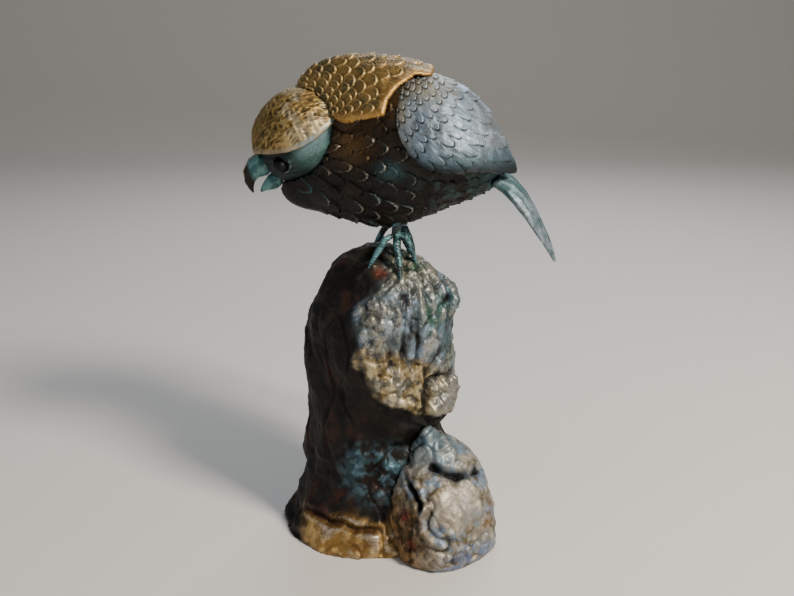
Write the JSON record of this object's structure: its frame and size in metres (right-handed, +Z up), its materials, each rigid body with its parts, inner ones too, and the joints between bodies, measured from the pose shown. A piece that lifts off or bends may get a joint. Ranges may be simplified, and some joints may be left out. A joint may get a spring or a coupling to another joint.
{
  "type": "bird figurine",
  "caption": "Patinated bronze bird of prey with its head lowered, folded wings and a long tail, standing on a tall rock with a flared foot.",
  "frame": {"origin": "middle of the figure's box, on the ground that the rock stands on", "axes": "+Z up, +X from the beak towards the tail, -Y to the side of the bird's left wing"},
  "size_m": [0.193, 0.1254, 0.301],
  "materials": {
    "bronze_gold": "cast bronze with a rubbed golden brown patina",
    "bronze_pewter": "cast bronze with a blue grey patina, worn bright on the feather edges",
    "bronze_dark": "cast bronze with a near black brown patina",
    "bronze_verdigris": "cast bronze with a blue green patina",
    "bronze_rock": "rough cast bronze, dark in the hollows, golden and blue grey on the high places",
    "brass_fasteners": "turned brass"
  },
  "bodies": {
    "root": {"body_shell": "bronze_dark", "mantle": "bronze_gold", "crown": "bronze_gold", "face": "bronze_verdigris", "upper_beak": "bronze_verdigris", "lower_beak": "bronze_verdigris", "left_eye": "bronze_dark", "right_eye": "bronze_dark", "left_wing": "bronze_pewter", "right_wing": "bronze_pewter", "tail": "bronze_pewter", "left_leg": "bronze_verdigris", "right_leg": "bronze_verdigris", "rock_column": "bronze_rock", "rock_boulder": "bronze_rock", "tail_pin": "brass_fasteners", "neck_pin": "brass_fasteners", "left_wing_front_pin": "brass_fasteners", "left_wing_rear_pin": "brass_fasteners", "right_wing_front_pin": "brass_fasteners", "right_wing_rear_pin": "brass_fasteners", "left_foot_stud": "brass_fasteners", "right_foot_stud": "brass_fasteners", "left_foot_washer": "brass_fasteners", "right_foot_washer": "brass_fasteners", "left_foot_nut": "brass_fasteners", "right_foot_nut": "brass_fasteners"}
  },
  "joints": []
}
